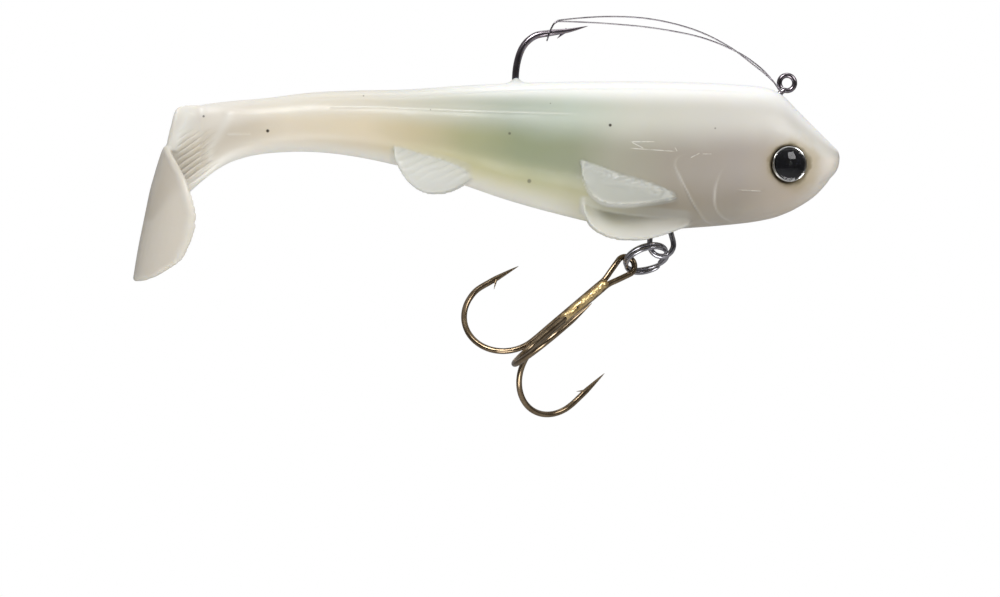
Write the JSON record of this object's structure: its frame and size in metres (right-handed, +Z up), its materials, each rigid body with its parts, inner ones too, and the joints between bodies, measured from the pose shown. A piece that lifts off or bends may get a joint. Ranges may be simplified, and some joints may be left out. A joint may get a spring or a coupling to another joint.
{
  "type": "paddle-tail swimbait",
  "caption": "Soft paddle-tail swimbait on a moulded-in jig head, with an up-riding hook, a sprung wire weed guard and a treble hung from a split ring under the belly.",
  "frame": {"origin": "centre of the line-tie eye on top of the head", "axes": "+X along the body towards the nose, +Y towards the lure's left flank along the line tie's hole, +Z up towards the back"},
  "size_m": [0.141, 0.0339, 0.0799],
  "materials": {
    "soft_plastic": "glossy, milky translucent",
    "lead": "dull cast lead",
    "black_nickel": "dark bright plating",
    "spring_wire": "bright drawn wire",
    "nickel_wire": "bright plating",
    "bronze_plating": "dark bronze plating",
    "brass_braze": "rough, brushed",
    "eye_foil": "bright",
    "pupil_black": "glossy",
    "eye_resin": "clear, glossy"
  },
  "bodies": {
    "lure": {"soft_body": "soft_plastic", "jig_weight": "lead", "main_hook": "black_nickel", "belly_hanger": "nickel_wire", "guard_roots": "spring_wire", "eye_seat_left": "eye_foil", "pupil_left": "pupil_black", "eye_dome_left": "eye_resin", "eye_seat_right": "eye_foil", "pupil_right": "pupil_black", "eye_dome_right": "eye_resin"},
    "stem": {"tail_stem": "soft_plastic"},
    "paddle": {"tail_paddle": "soft_plastic"},
    "guard": {"weed_guard": "spring_wire"},
    "ring": {"split_ring": "nickel_wire"},
    "treble": {"treble_double_hook": "bronze_plating", "treble_third_hook": "bronze_plating", "treble_braze": "brass_braze"}
  },
  "joints": [
    {"name": "tail_sway", "type": "hinge", "parent": "lure", "child": "stem", "pos_m": [-0.084, 0, -0.008], "axis": [0, 0, 1], "range_deg": [-30, 30], "stiffness_Nm_per_rad": 0.004},
    {"name": "paddle_flap", "type": "hinge", "parent": "stem", "child": "paddle", "pos_m": [-0.1175, 0, -0.012], "axis": [0, 0, 1], "range_deg": [-35, 35], "stiffness_Nm_per_rad": 0.0008},
    {"name": "guard_press", "type": "hinge", "parent": "lure", "child": "guard", "pos_m": [-0.0011, 0, -0.002], "axis": [0, 1, 0], "range_deg": [-8.5, 0], "stiffness_Nm_per_rad": 0.01},
    {"name": "ring_swing", "type": "hinge", "parent": "lure", "child": "ring", "pos_m": [-0.0251, 0, -0.033], "axis": [1, 0, 0], "range_deg": [-10, 30]},
    {"name": "treble_swing", "type": "hinge", "parent": "ring", "child": "treble", "pos_m": [-0.03216, 0.00206, -0.03651], "axis": [0.1834, 0.8522, -0.49], "range_deg": [-90, 30]}
  ]
}
